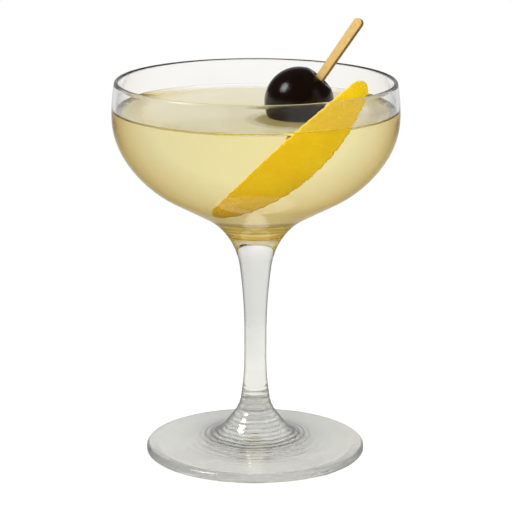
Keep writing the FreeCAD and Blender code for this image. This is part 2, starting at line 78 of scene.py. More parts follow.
def ringFaces(rings, segments):
    # closed round both ends: point 0 is the first pole, then the rings, then the last pole
    ring, step = np.meshgrid(np.arange(rings - 1), np.arange(segments), indexing="ij")
    here = 1 + ring * segments + step
    beside = 1 + ring * segments + (step + 1) % segments
    quads = np.stack([here, beside, beside + segments, here + segments], axis=-1).reshape(-1, 4)
    around = np.arange(segments)
    after = (around + 1) % segments
    last = 1 + (rings - 1) * segments
    firstFan = np.stack([np.zeros_like(around), 1 + after, 1 + around], axis=-1)
    lastFan = np.stack([np.full_like(around, last + segments), last + around, last + after], axis=-1)
    return quads.tolist() + firstFan.tolist() + lastFan.tolist()


def ringChoice(chosen, segments):
    # one choice per band between rings, spread over its faces; each fan takes that of the band beside it
    fans = [np.full(segments, chosen[0]), np.full(segments, chosen[-1])]
    return np.concatenate([np.repeat(chosen, segments)] + fans)


def turnedPoints(profile, segments):
    # each profile point (r, z) becomes a ring (r cos a, r sin a, z); the two ends lie on the axis
    angle = np.linspace(0, 2 * np.pi, segments, endpoint=False)
    radius, height = profile[1:-1, 0, None], profile[1:-1, 1, None]
    rings = np.stack([radius * np.cos(angle), radius * np.sin(angle), height + 0 * angle], axis=-1)
    poles = np.array([[0, 0, profile[0, 1]], [0, 0, profile[-1, 1]]])
    return np.concatenate([poles[:1], rings.reshape(-1, 3), poles[1:]])


def arcLine(centre, radius, start, end, steps):
    # centre plus radius times (cos a, sin a), a running from start to end in degrees
    turn = np.radians(np.linspace(start, end, steps))
    return np.stack([centre[0] + radius * np.cos(turn), centre[1] + radius * np.sin(turn)], axis=1)


def straightLine(start, end, steps):
    # start times (1 - share) plus end times share, the share running from 0 to 1
    share = np.linspace(0, 1, steps)[:, None]
    return np.array(start) * (1 - share) + np.array(end) * share


def joined(*lines):
    # lines end to end, each shared point kept once
    return np.concatenate([lines[0]] + [line[1:] for line in lines[1:]])


def heading(degrees):
    # the unit step (cos a, sin a)
    return np.array([math.cos(math.radians(degrees)), math.sin(math.radians(degrees))])


# the glass, one outline turned about the axis

glass = dict(
    wall=1.3, lipDrawIn=1.07, lipRise=11.8, lipRound=0.6,
    shoulderArc=27.2, shoulderDrop=14.0, bellyArc=40.5, undersideSlope=28.0, wellArc=22.0,
    collarArc=24.0, stemRadius=3.83, waistTop=42.0, waistBottom=34.0,
    stemUpperArc=180.0, stemLowerArc=95.0, ankleArc=12.0,
    coneLean=38.0, coneEnd=(10.5, 9.5), instepArc=10.0,
    footRadius=38.0, footEdge=2.7, footTopRound=1.25, footBaseRound=0.9, restingRing=4.5, hollowDepth=2.1,
    moulding=0.2, mouldingPitch=2.5, mouldingReach=12.0,
    tooling=0.07, toolingPitch=1.9, toolingMiddle=14.0, toolingReach=7.0,
    segments=224,
)


def bowlSide(inset, top):
    # lip arc, shoulder and belly of the bowl, set in by inset, from the top down
    drawIn, rise = glass["lipDrawIn"], glass["lipRise"]
    lipArc = (drawIn ** 2 + rise ** 2) / (2 * drawIn) - inset
    widest = np.array([bowlRadius - inset, lipHeight - rise])
    shoulder, belly = glass["shoulderArc"] - inset, glass["bellyArc"] - inset
    turn = math.degrees(math.asin(glass["shoulderDrop"] / glass["shoulderArc"]))
    shoulderCentre = widest - [shoulder, 0]
    bellyCentre = shoulderCentre + heading(-turn) * (shoulder - belly)
    lipEnd = math.degrees(math.asin((top - widest[1]) / lipArc))
    return joined(
        arcLine(widest - [lipArc, 0], lipArc, lipEnd, 0, steps=18),
        arcLine(shoulderCentre, shoulder, 0, -turn, steps=20),
        arcLine(bellyCentre, belly, -turn, glass["undersideSlope"] - 90, steps=22),
    )


def bowlInside(inset, top):
    # the side carried on down its straight underside to a round floor on the axis
    side = bowlSide(inset, top)
    slope = glass["undersideSlope"]
    floorArc = glass["wellArc"] + glass["wall"] - inset
    inward = heading(slope + 90)
    floorCentre = np.array([0, (inward @ side[-1] + floorArc) / inward[1]])
    floor = arcLine(floorCentre, floorArc, slope - 90, -90, steps=20)
    return joined(side, straightLine(side[-1], floor[0], steps=12), floor)


def lipRounding(top):
    # two quarter rounds with the small flat between them, from the outside over to the inside
    rounding, wall = glass["lipRound"], glass["wall"]
    outer = bowlRadius - glass["lipDrawIn"]
    over = arcLine([outer - rounding, top - rounding], rounding, 0, 90, steps=9)
    back = arcLine([outer - wall + rounding, top - rounding], rounding, 90, 180, steps=9)
    return np.concatenate([over, back])


def ripple(along, height, pitch, middle, reach):
    # a wave of this pitch that dies away on both sides of the middle
    return height * np.sin(2 * np.pi * along / pitch) * np.exp(-((along - middle) / reach) ** 2)


def footOutline():
    # a shallow dome with moulded rings, the rounded edge, and the hollow instep up to the cone
    footRadius, lean, instepArc = glass["footRadius"], glass["coneLean"], glass["instepArc"]
    base, top = glass["footBaseRound"], glass["footTopRound"]
    mouth, depth = footRadius - glass["restingRing"], glass["hollowDepth"]
    domeArc = (mouth ** 2 + depth ** 2) / (2 * depth)
    domeEdge = math.degrees(math.asin(mouth / domeArc))
    dome = arcLine([0, depth - domeArc], domeArc, 90, 90 - domeEdge, steps=90)
    dome[:, 1] += ripple(dome[:, 0], glass["moulding"], glass["mouldingPitch"], 0, glass["mouldingReach"])
    toe = arcLine([footRadius - base, base], base, -90, 0, steps=8)
    instepCentre = np.array(glass["coneEnd"]) + heading(lean) * instepArc
    toEdge = np.array([footRadius, glass["footEdge"]]) - instepCentre
    reach = math.hypot(*toEdge)
    instepStop = math.degrees(math.atan2(toEdge[1], toEdge[0]) - math.acos(instepArc / reach)) % 360
    footSlope = 270 - instepStop                       # how far the top of the foot falls, degrees
    fall = math.radians(footSlope)
    topCentre = [footRadius - top, glass["footEdge"] + top * math.tan(fall) - top / math.cos(fall)]
    edgeRound = arcLine(topCentre, top, 0, 90 - footSlope, steps=9)
    instep = arcLine(instepCentre, instepArc, instepStop, 180 + lean, steps=12)
    return np.concatenate([dome, toe, edgeRound, instep])


def coneOutline():
    # the straight cone, the ankle and the stem's lower arc, with faint rings left by the tool
    lean, coneEnd = glass["coneLean"], np.array(glass["coneEnd"])
    stemLower, ankleArc = glass["stemLowerArc"], glass["ankleArc"]
    lowerCentre = np.array([glass["stemRadius"] + stemLower, glass["waistBottom"]])
    reach = heading(lean) @ (lowerCentre - coneEnd) - ankleArc
    lowerLean = lean - math.degrees(math.acos(reach / (stemLower - ankleArc)))
    ankleCentre = lowerCentre + heading(180 + lowerLean) * (stemLower - ankleArc)
    ankle = arcLine(ankleCentre, ankleArc, 180 + lean, 180 + lowerLean, steps=30)
    lower = arcLine(lowerCentre, stemLower, 180 + lowerLean, 180, steps=30)
    cone = joined(straightLine(coneEnd, ankle[0], steps=14), ankle, lower)
    cone[:, 0] += ripple(cone[:, 1], glass["tooling"], glass["toolingPitch"],
                         glass["toolingMiddle"], glass["toolingReach"])
    return cone


def collarOutline(bowlFoot):
    # the stem's upper arc and the collar, then straight on to where the bowl begins
    slope = glass["undersideSlope"]
    stemUpper, collarArc = glass["stemUpperArc"], glass["collarArc"]
    upperCentre = np.array([glass["stemRadius"] + stemUpper, glass["waistTop"]])
    reach = heading(slope - 90) @ (upperCentre - bowlFoot) - collarArc
    upperLean = 90 - slope - math.degrees(math.acos(reach / (stemUpper - collarArc)))
    collarCentre = upperCentre + heading(180 - upperLean) * (stemUpper - collarArc)
    upper = arcLine(upperCentre, stemUpper, 180, 180 - upperLean, steps=24)
    collar = arcLine(collarCentre, collarArc, 180 - upperLean, slope + 90, steps=18)
    return joined(upper, collar, straightLine(collar[-1], bowlFoot, steps=8))


def glassOutline():
    # from the hollow under the foot, out, up the outside, over the lip and down the inside
    lipStart = lipHeight - glass["lipRound"]
    side = bowlSide(0, lipStart)[::-1]
    return np.concatenate([
        footOutline(), coneOutline()[1:], collarOutline(side[0]), side[1:],
        lipRounding(lipHeight)[1:-1], bowlInside(glass["wall"], lipStart),
    ])


# building blocks for the materials; an output is another node's output socket

def newMaterial(name):
    # the new material, its nodes and links, and its shader
    material = bpy.data.materials.new(name)
    material.use_nodes = True
    nodes, links = material.node_tree.nodes, material.node_tree.links
    return material, nodes, links, nodes["Principled BSDF"]


def fill(links, socket, value):
    # an output is linked, a colour gets its full opacity, and a number or a vector is set as it is
    if isinstance(value, bpy.types.NodeSocket):
        links.new(value, socket)
    else:
        socket.default_value = (*value, 1) if socket.type == "RGBA" else value


def addNode(nodes, links, kind, inputs=None, **settings):
    # a node of this kind, with its own settings made and the named inputs filled
    node = nodes.new("ShaderNode" + kind)
    for setting, choice in settings.items():
        setattr(node, setting, choice)
    for name, value in (inputs or {}).items():
        fill(links, node.inputs[name], value)
    return node


def addMath(nodes, links, operation, *values, kind="Math", gives="Value"):
    # the operation's values in the order of its sockets, each a number, a vector or an output
    return addNode(nodes, links, kind, dict(enumerate(values)), operation=operation).outputs[gives]


def addFade(nodes, links, value, span, low=0, high=1, smooth=False):
    # low where the value is at the span's start, high where it is at its end, and level beyond
    return addNode(nodes, links, "MapRange", {
        "Value": value, "From Min": span[0], "From Max": span[1], "To Min": low, "To Max": high,
    }, interpolation_type="SMOOTHSTEP" if smooth else "LINEAR").outputs["Result"]


def addMix(nodes, links, share, first, second, blend="MIX"):
    # the first colour where the share is 0, the second, or the two blended, where it is 1
    return addNode(nodes, links, "MixRGB", {"Fac": share, "Color1": first, "Color2": second},
                   blend_type=blend).outputs["Color"]


def addRamp(nodes, links, value, stops):
    # a colour for the value, from colours at a few places in rising order
    node = addNode(nodes, links, "ValToRGB", {"Fac": value})
    elements = node.color_ramp.elements
    for element, (place, colour) in zip(elements, (stops[0], stops[-1])):
        element.position, element.color = place, (*colour, 1)
    for place, colour in stops[1:-1]:
        elements.new(place).color = (*colour, 1)
    return node.outputs["Color"]


def addBump(nodes, links, shader, height, strength, distance):
    bump = addNode(nodes, links, "Bump", {"Height": height, "Strength": strength, "Distance": distance})
    links.new(bump.outputs["Normal"], shader.inputs["Normal"])


def makeMottle():
    # noise that runs from one colour to another: the first below Start, the second above End
    group = bpy.data.node_groups.new("mottle", "ShaderNodeTree")
    for name, kind in (("Vector", "Vector"), ("Scale", "Float"), ("Detail", "Float"), ("Start", "Float"),
                       ("End", "Float"), ("First", "Color"), ("Second", "Color")):
        group.interface.new_socket(name, in_out="INPUT", socket_type="NodeSocket" + kind)
    for name, kind in (("Color", "Color"), ("Height", "Float")):
        group.interface.new_socket(name, in_out="OUTPUT", socket_type="NodeSocket" + kind)
    nodes, links = group.nodes, group.links
    given = nodes.new("NodeGroupInput").outputs
    results = nodes.new("NodeGroupOutput").inputs
    noise = addNode(nodes, links, "TexNoise", {name: given[name] for name in ("Vector", "Scale", "Detail")})
    share = addFade(nodes, links, noise.outputs["Fac"], (given["Start"], given["End"]))
    links.new(addMix(nodes, links, share, given["First"], given["Second"]), results["Color"])
    links.new(noise.outputs["Fac"], results["Height"])
    return group


mottle = makeMottle()


def addMottle(nodes, links, place, scale, detail, first, second, span=(0, 1)):
    inputs = {"Vector": place, "Scale": scale, "Detail": detail, "Start": span[0], "End": span[1],
              "First": first, "Second": second}
    node = nodes.new("ShaderNodeGroup")
    node.node_tree = mottle
    for name, value in inputs.items():
        fill(links, node.inputs[name], value)
    return node.outputs


def letLampsThrough(nodes, links, surface, tint):
    # for shadow rays the surface is a tinted pane, so the lamps reach what stands behind it
    path = addNode(nodes, links, "LightPath")
    clear = addNode(nodes, links, "BsdfTransparent", {"Color": tint})
    pane = addNode(nodes, links, "MixShader", {
        "Fac": path.outputs["Is Shadow Ray"], 1: surface, 2: clear.outputs["BSDF"]})
    links.new(pane.outputs["Shader"], nodes["Material Output"].inputs["Surface"])


def soakUp(nodes, links, colour, density):
    # light takes on this colour on its way through, the sooner the denser the body
    body = addNode(nodes, links, "VolumeAbsorption", {"Color": colour, "Density": density})
    links.new(body.outputs["Volume"], nodes["Material Output"].inputs["Volume"])


def bendBy(nodes, links, shader, mark, plain, marked):
    # the refraction is one number on plain faces and another on the marked ones
    share = addNode(nodes, links, "Attribute", attribute_name=mark).outputs["Fac"]
    links.new(addFade(nodes, links, share, (0, 1), plain, marked), shader.inputs["IOR"])
    shader.inputs["IOR"].default_value = max(plain, marked)
    return share


def fromAxis(nodes, links, place):
    # the length of (x, y, 0)
    flat = addMath(nodes, links, "MULTIPLY", place, (1, 1, 0), kind="VectorMath", gives="Vector")
    return addMath(nodes, links, "LENGTH", flat, kind="VectorMath")


# heights and distances in the materials are in metres; the glass turns from the first tint to the second, a
# painted dark edge, as its surface turns away from the first of its edges to the second, and gives way to the
# next part over its top

clearGlass = dict(
    refraction=1.5, soak=(0.10, 0.10, 0.0), soakDensity=2.0, lampTint=(0.97, 0.97, 0.96),
    # the foot's grey is a painted shadow of the glass on the table below; each second tint is a painted dark
    # edge
    footTints=((0.66, 0.66, 0.64), (0.10, 0.10, 0.09)), footEdges=(0.80, 1.0), footTop=(0.004, 0.007),
    stemTints=((0.79, 0.79, 0.755), (0.02, 0.02, 0.02)), stemEdges=(0.42, 0.80), stemTop=(0.068, 0.076),
    wallTints=((0.965, 0.965, 0.95), (0.96, 0.96, 0.93)), wallEdges=(0.82, 1.0),
    lip=(0.1291, 0.1303), lipBlur=0.2,
)

# painted dark rings: depths give how strong they are at each value of radius less height, in rising order
paintedRings = dict(
    pitch=0.0024, wander=5.0, wanderScale=90, trough=-0.2, dark=(0.05, 0.05, 0.04),
    depths=((-0.025, 0.0), (-0.018, 0.0), (-0.012, 0.45), (0.004, 0.5), (0.008, 0.9), (0.012, 0.8),
            (0.0155, 0.0), (0.0362, 0.0), (0.0367, 0.9), (0.0376, 1.0)),
)


def addPaintedRings(nodes, links, place, height, tint):
    # painted dark rings about the axis on the foot's edge, the instep and the cone above it, standing in for
    # the dark lines and swirl seen through the glass there: a sine of radius less height, set off by noise,
    # times how strong the marks are there
    uneven = addNode(nodes, links, "TexNoise", {"Vector": place, "Scale": paintedRings["wanderScale"]})
    wander = addFade(nodes, links, uneven.outputs["Fac"], (0, 1), 0, paintedRings["wander"])
    reach = addMath(nodes, links, "SUBTRACT", fromAxis(nodes, links, place), height)
    phase = addMath(nodes, links, "MULTIPLY_ADD", reach, 2 * math.pi / paintedRings["pitch"], wander)
    crest = addFade(nodes, links, addMath(nodes, links, "SINE", phase), (paintedRings["trough"], 1))
    start, end = paintedRings["depths"][0][0], paintedRings["depths"][-1][0]
    stops = [((place - start) / (end - start), [depth] * 3) for place, depth in paintedRings["depths"]]
    strength = addRamp(nodes, links, addFade(nodes, links, reach, (start, end)), stops)
    dark = addMath(nodes, links, "MULTIPLY", crest, strength)
    return addMix(nodes, links, dark, tint, paintedRings["dark"], "MULTIPLY")


def makeClearGlass():
    material, nodes, links, shader = newMaterial("clear glass")
    shader.inputs["Transmission Weight"].default_value = 1
    refraction = clearGlass["refraction"]
    bendBy(nodes, links, shader, "wet", refraction, refraction / paleDrink["refraction"])
    soakUp(nodes, links, clearGlass["soak"], clearGlass["soakDensity"])
    place = addNode(nodes, links, "TexCoord").outputs["Object"]
    height = addNode(nodes, links, "SeparateXYZ", {"Vector": place}).outputs["Z"]
    # the lip, melted smooth, blurs what is seen through it
    blur = addFade(nodes, links, height, clearGlass["lip"], 0, clearGlass["lipBlur"])
    links.new(blur, shader.inputs["Roughness"])
    # clear where it faces the eye and darker where it turns away, with tints of its own for each part:
    # painted dark edges, and on the foot a painted shadow of the glass on the table below
    facing = addNode(nodes, links, "LayerWeight").outputs["Facing"]
    foot, stem, wall = (
        addRamp(nodes, links, facing, list(zip(clearGlass[part + "Edges"], clearGlass[part + "Tints"])))
        for part in ("foot", "stem", "wall"))
    tint = addMix(nodes, links, addFade(nodes, links, height, clearGlass["footTop"]), foot, stem)
    tint = addMix(nodes, links, addFade(nodes, links, height, clearGlass["stemTop"]), tint, wall)
    # painted dark rings over the glass's tints
    links.new(addPaintedRings(nodes, links, place, height, tint), shader.inputs["Base Color"])
    letLampsThrough(nodes, links, shader.outputs["BSDF"], clearGlass["lampTint"])
    return material


paleDrink = dict(
    refraction=1.36, wallRefraction=1.001, topHaze=0.07,
    soak=(0.955, 0.815, 0.0), soakDensity=9.0, lampTint=(0.98, 0.95, 0.85),
    # gold is the painted shade towards the drink's sides
    gold=(0.62, 0.39, 0.06), goldEdges=(0.12, 0.27), goldPasses=2.5,
    film=(0.54, 0.47, 0.29), filmShare=0.55, wallClear=(0.0452, 0.0470),
    # the cherry's painted shadow and reflection on the film: its colour, its share and where it fades
    paintedCherryShadow=(0.22, 0.16, 0.01), paintedShadowShare=0.8, cherryShade=(0.0145, 0.0200), shadeOffset=(0, -0.005, 0),
)


def addFilmAndPaintedShadow(nodes, links, surface, openTop):
    # a thin cloudy film of fine bubbles on the open surface, which clears where the drink climbs the wall;
    # round the foot of the cherry, most of all in front, it carries a painted shadow and reflection of the
    # cherry
    place = addNode(nodes, links, "TexCoord").outputs["Object"]
    # painted shadow and reflection of the cherry, darkest at its foot and set towards the front
    shadeMiddle = cherryMiddle * millimetre + paleDrink["shadeOffset"]
    apart = addMath(nodes, links, "DISTANCE", place, tuple(shadeMiddle), kind="VectorMath")
    away = addFade(nodes, links, apart, paleDrink["cherryShade"])
    colour = addMix(nodes, links, away, paleDrink["paintedCherryShadow"], paleDrink["film"])
    near = addFade(nodes, links, apart, paleDrink["cherryShade"], paleDrink["paintedShadowShare"], 0)
    radius = fromAxis(nodes, links, place)
    even = addFade(nodes, links, radius, paleDrink["wallClear"], paleDrink["filmShare"], 0)
    share = addMath(nodes, links, "MULTIPLY", openTop, addMath(nodes, links, "MAXIMUM", even, near))
    film = addNode(nodes, links, "BsdfDiffuse", {"Color": colour})
    return addNode(nodes, links, "MixShader", {
        "Fac": share, 1: surface, 2: film.outputs["BSDF"]}).outputs["Shader"]


def makePaleDrink():
    material, nodes, links, shader = newMaterial("pale drink")
    shader.inputs["Transmission Weight"].default_value = 1
    openTop = bendBy(nodes, links, shader, "open", paleDrink["wallRefraction"], paleDrink["refraction"])
    soakUp(nodes, links, paleDrink["soak"], paleDrink["soakDensity"])
    haze = addMath(nodes, links, "MULTIPLY", openTop, paleDrink["topHaze"])
    links.new(haze, shader.inputs["Roughness"])
    # looked at through the wall the drink deepens to a darker gold towards the sides, a painted shade, but
    # light from further in stays plain
    facing = addNode(nodes, links, "LayerWeight").outputs["Facing"]
    gold = addRamp(nodes, links, facing, list(zip(paleDrink["goldEdges"], ((1, 1, 1), paleDrink["gold"]))))
    passes = addNode(nodes, links, "LightPath").outputs["Transmission Depth"]
    further = addMath(nodes, links, "GREATER_THAN", passes, paleDrink["goldPasses"])
    plain = addMath(nodes, links, "MAXIMUM", further, openTop)
    links.new(addMix(nodes, links, plain, gold, (1, 1, 1)), shader.inputs["Base Color"])
    filmAndPaintedShadow = addFilmAndPaintedShadow(nodes, links, shader.outputs["BSDF"], openTop)
    letLampsThrough(nodes, links, filmAndPaintedShadow, paleDrink["lampTint"])
    return material


zest = dict(
    colour=(0.90, 0.57, 0.001), paler=(0.93, 0.64, 0.004), pith=(0.93, 0.76, 0.22), patches=140.0,
    patchDetail=4.0, patchSpan=(0.35, 0.75), poreScale=1500, bump=0.3, bumpDepth=0.0002,
    roughness=0.38, refraction=1.25,
)


def makeZest():
    material, nodes, links, shader = newMaterial("lemon zest")
    place = addNode(nodes, links, "TexCoord").outputs["Object"]
    skin = addMottle(nodes, links, place, zest["patches"], zest["patchDetail"], zest["colour"], zest["paler"],
                     zest["patchSpan"])
    cut = addNode(nodes, links, "Attribute", attribute_name="pith").outputs["Fac"]
    links.new(addMix(nodes, links, cut, skin["Color"], zest["pith"]), shader.inputs["Base Color"])
    pores = addNode(nodes, links, "TexVoronoi", {"Vector": place, "Scale": zest["poreScale"]})
    addBump(nodes, links, shader, pores.outputs["Distance"], zest["bump"], zest["bumpDepth"])
    shader.inputs["Roughness"].default_value = zest["roughness"]
    shader.inputs["IOR"].default_value = zest["refraction"]
    return material


cherrySkin = dict(
    colour=(0.0015, 0.0005, 0.0003), redder=(0.009, 0.0022, 0.001), patches=220.0, patchDetail=5.0,
    grainScale=1500.0, grainDetail=2.0, bump=1.0, bumpDepth=0.00007, roughness=0.17, refraction=1.33,
)


def makeCherrySkin():
    material, nodes, links, shader = newMaterial("cherry skin")
    place = addNode(nodes, links, "TexCoord").outputs["Object"]
    skin = addMottle(nodes, links, place, cherrySkin["patches"], cherrySkin["patchDetail"],
                     cherrySkin["colour"], cherrySkin["redder"])
    links.new(skin["Color"], shader.inputs["Base Color"])
    grain = addNode(nodes, links, "TexNoise", {
        "Vector": place, "Scale": cherrySkin["grainScale"], "Detail": cherrySkin["grainDetail"]})
    addBump(nodes, links, shader, grain.outputs["Fac"], cherrySkin["bump"], cherrySkin["bumpDepth"])
    shader.inputs["Roughness"].default_value = cherrySkin["roughness"]
    shader.inputs["IOR"].default_value = cherrySkin["refraction"]
    return material


# side is the colour of the painted shade on the pick's narrow sides
bamboo = dict(
    colour=(0.44, 0.26, 0.065), paler=(0.72, 0.50, 0.165), side=(0.44, 0.35, 0.23), lean=-34.0,
    stretch=0.06, fibreScale=2600.0, fibreDetail=4.0, bump=0.4, bumpDepth=0.0001, roughness=0.55,
)


def makeBamboo():
    material, nodes, links, shader = newMaterial("pale bamboo")
    along = addNode(nodes, links, "Mapping", {
        "Vector": addNode(nodes, links, "TexCoord").outputs["Object"],
        "Rotation": (0, math.radians(bamboo["lean"]), 0), "Scale": (1, 1, bamboo["stretch"])})
    fibre = addMottle(nodes, links, along.outputs["Vector"], bamboo["fibreScale"], bamboo["fibreDetail"],
                      bamboo["colour"], bamboo["paler"])
    # painted shade on the pick's narrow sides
    side = addNode(nodes, links, "Attribute", attribute_name="side").outputs["Fac"]
    colour = addMix(nodes, links, side, fibre["Color"], bamboo["side"], "MULTIPLY")
    links.new(colour, shader.inputs["Base Color"])
    addBump(nodes, links, shader, fibre["Height"], bamboo["bump"], bamboo["bumpDepth"])
    shader.inputs["Roughness"].default_value = bamboo["roughness"]
    return material


# the glass and its drink

drinkShape = dict(
    intoWall=0.3, climb=1.7, climbReach=1.9, cherryClimb=0.3, cherryReach=0.8,
    rings=100, gathering=1.4, segments=320,
)


def makeGlass():
    # the inside below the drink's edge is wet: there the glass meets drink and hardly bends the light
    edge = drinkLevel + drinkShape["climb"]
    profile = glassOutline()
    inner = len(profile) - len(bowlInside(glass["wall"], lipHeight - glass["lipRound"]))
    place = inner + int(np.argmax(profile[inner:, 1] < edge))
    above, below = profile[place - 1], profile[place]
    atEdge = above + (below - above) * (above[1] - edge) / (above[1] - below[1])
    profile = np.insert(profile, place, atEdge, axis=0)
    wet = np.arange(len(profile) - 3) >= place - 1
    segments = glass["segments"]
    addPiece("glass_clear", turnedPoints(profile, segments), ringFaces(len(profile) - 2, segments),
             makeClearGlass(), "glass", smoothAngle=40, marked=("wet", ringChoice(wet, segments)))


makeGlass()


def drinkOutline():
    # the bowl's inside up to the level, then the level surface in to the axis, with its points gathered
    # at the wall: radius times (1 - share to the power of the gathering)
    inset = glass["wall"] - drinkShape["intoWall"]
    side = bowlInside(inset, drinkLevel + drinkShape["climb"])[::-1]
    share = np.linspace(0, 1, drinkShape["rings"])[1:]
    across = side[-1, 0] * (1 - share ** drinkShape["gathering"])
    level = np.stack([across, np.full_like(across, drinkLevel)], axis=1)
    return np.concatenate([side, level]), len(side)


def climbing(distance, height, reach):
    # how far the drink climbs what it wets: height times e to the minus distance over reach
    return height * np.exp(-np.maximum(distance, 0) / reach)


def makeDrink():
    # the outline turned, and its open surface raised near the wall and near the cherry
    profile, sideCount = drinkOutline()
    segments = drinkShape["segments"]
    points = turnedPoints(profile, segments)
    first = 1 + (sideCount - 1) * segments                       # where the level surface starts
    surface = points[first:]
    wallRadius = np.hypot(*points[first - segments, :2]) - drinkShape["intoWall"]
    fromWall = wallRadius - np.hypot(surface[:, 0], surface[:, 1])
    surface[:, 2] += climbing(fromWall, drinkShape["climb"], drinkShape["climbReach"])
    contact = math.sqrt(cherryRadius ** 2 - (drinkLevel - cherryMiddle[2]) ** 2)
    fromCherry = np.hypot(surface[:, 0] - cherryMiddle[0], surface[:, 1] - cherryMiddle[1]) - contact
    surface[:, 2] += climbing(fromCherry, drinkShape["cherryClimb"], drinkShape["cherryReach"])
    onTop = np.arange(len(profile) - 3) >= sideCount - 2
    addPiece("drink_pale", points, ringFaces(len(profile) - 2, segments),
             makePaleDrink(), "drink", smoothAngle=50, marked=("open", ringChoice(onTop, segments)))


makeDrink()


cherry = dict(tilt=42.0, dimpleDepth=1.7, dimpleRing=4.2, dimpleShoulder=3.5, segments=192)


def cherryOutline():
    # a round side, the ring round the dimple, and the dimple, from the bottom up
    ring, depth, shoulder = cherry["dimpleRing"], cherry["dimpleDepth"], cherry["dimpleShoulder"]
    ringCentre = np.array([ring, math.sqrt((cherryRadius - shoulder) ** 2 - ring ** 2)])
    dimpleArc = (ring ** 2 + depth ** 2 - 2 * shoulder * depth) / (2 * depth)
    dimpleCentre = np.array([0, ringCentre[1] + shoulder - depth + dimpleArc])
    rise = math.degrees(math.atan2(ringCentre[1], ringCentre[0]))
    toDimple = dimpleCentre - ringCentre
    turn = math.degrees(math.atan2(toDimple[1], toDimple[0]))
    return joined(
        arcLine([0, 0], cherryRadius, -90, rise, steps=90),
        arcLine(ringCentre, shoulder, rise, turn, steps=22),
        arcLine(dimpleCentre, dimpleArc, turn - 180, -90, steps=12),
    )


def makeCherry():
    # the outline turned about its stalk's line, which leans to the right
    profile = cherryOutline()
    points = turnedPoints(profile, cherry["segments"])
    tilt = np.array(Matrix.Rotation(math.radians(cherry["tilt"]), 3, "Y"))
    addPiece("cherry_dark", points @ tilt.T + cherryMiddle,
             ringFaces(len(profile) - 2, cherry["segments"]), makeCherrySkin(), "cherry")


makeCherry()


def boxSection(halfWidth, halfDepth, rounding, between=(0.04, 0.3, 0.7, 0.96), steps=8):
    # a rectangle with rounded corners as one loop: four corner arcs, with points along each flat at
    # these shares of it; the rounding stays under the smaller half, so that no flat is lost
    rounding = np.minimum(rounding, 0.9 * np.minimum(halfWidth, halfDepth))
    rights, ups, share = (1, -1, -1, 1), (1, 1, -1, -1), np.array(between)
    x, y = [], []
    for corner in range(4):
        right, up = rights[corner], ups[corner]
        nextRight, nextUp = rights[(corner + 1) % 4], ups[(corner + 1) % 4]
        turn = np.radians(np.linspace(90 * corner, 90 * corner + 90, steps))
        x.append(right * (halfWidth - rounding) + rounding * np.cos(turn))
        y.append(up * (halfDepth - rounding) + rounding * np.sin(turn))
        edgeX, edgeY = rounding * np.cos(turn[-1]), rounding * np.sin(turn[-1])
        x.append((right + (nextRight - right) * share) * (halfWidth - rounding) + edgeX)
        y.append((up + (nextUp - up) * share) * (halfDepth - rounding) + edgeY)
    return np.concatenate(x, axis=1), np.concatenate(y, axis=1)


def carriedPoints(x, y, z):
    # one ring for each row, closed at both ends by a pole amid the ring
    rings = np.stack([x, y, z], axis=-1)
    poles = rings[[0, -1]].mean(axis=1)
    return np.concatenate([poles[:1], rings.reshape(-1, 3), poles[1:]])


def faceChoice(values, atEnds):
    # a value for each face between rings, from those of its two corners, and one for both fans
    halfway = ((values + np.roll(values, -1, axis=1)) / 2)[:-1].ravel()
    return np.concatenate([halfway, np.full(2 * values.shape[1], atEnds)])


# the lemon peel: laid out flat, leaned over, and pushed out to the bowl's curve

peel = dict(
    gap=0.5, thickness=1.8, tipX=33.2, tipRise=1.3, slant=40.4, span=59.4, drift=1.3,
    tipRound=3.6, endRound=3.0, innerEdge=160.0, outerEdge=84.0, along=420, rounding=0.4, between=36,
    pores=1300, poreDepth=0.24, poreWidth=0.34,
    raggedInner=0.225, raggedOuter=0.45, raggedWidth=6.0, waves=14, waveLengths=(0.7, 5.0), calming=3.0,
    pithStart=0.22, pithFade=0.2, seed=11,
)


def edgeLine(along, first, second, radius, side):
    # height of the arc that encloses both end rounds, with the rounds themselves beyond it
    (firstPoint, firstRound), (secondPoint, secondRound) = first, second
    span = secondPoint - firstPoint
    length = math.hypot(*span)
    near, far = radius - firstRound, radius - secondRound
    reach = (near ** 2 - far ** 2 + length ** 2) / (2 * length)
    away = math.sqrt(near ** 2 - reach ** 2)
    direction = span / length
    across = np.array([-direction[1], direction[0]])
    across = across if across[1] * side < 0 else -across
    centre = firstPoint + direction * reach + across * away
    arc = centre[1] + side * np.sqrt(radius ** 2 - (along - centre[0]) ** 2)
    touches = [centre[0] + (point[0] - centre[0]) * radius / (radius - small)
               for point, small in (first, second)]
    ends = [point[1] + side * np.sqrt(np.maximum(small ** 2 - (along - point[0]) ** 2, 0))
            for point, small in (first, second)]
    return np.where(along > touches[0], ends[0], np.where(along < touches[1], ends[1], arc))


def ragged(random, along, height):
    # a cut edge that wanders: the sum of waves of random length and phase, calmed by tanh and kept
    # between 0 and height
    waves = 0 * along
    for length in random.uniform(*peel["waveLengths"], peel["waves"]):
        waves = waves + np.sin(2 * np.pi * along / length + random.uniform(0, 2 * np.pi))
    return height * (0.5 + 0.5 * np.tanh(waves / peel["calming"]))


def poreDepth(random, u, v):
    # how deep the skin is dimpled: the deepest of many round dimples, each depth times e to the minus
    # (distance over width) squared, and left out beyond three widths
    count, width = peel["pores"], peel["poreWidth"]
    places = np.stack([random.uniform(line.min(), line.max(), count) for line in (u, v)])
    depth = np.zeros_like(u)
    for x, y in places.T:
        near = np.abs(u[:, 0] - x) < 3 * width
        distance = (u[near] - x) ** 2 + (v[near] - y) ** 2
        depth[near] = np.maximum(depth[near], peel["poreDepth"] * np.exp(-distance / width ** 2))
    return depth


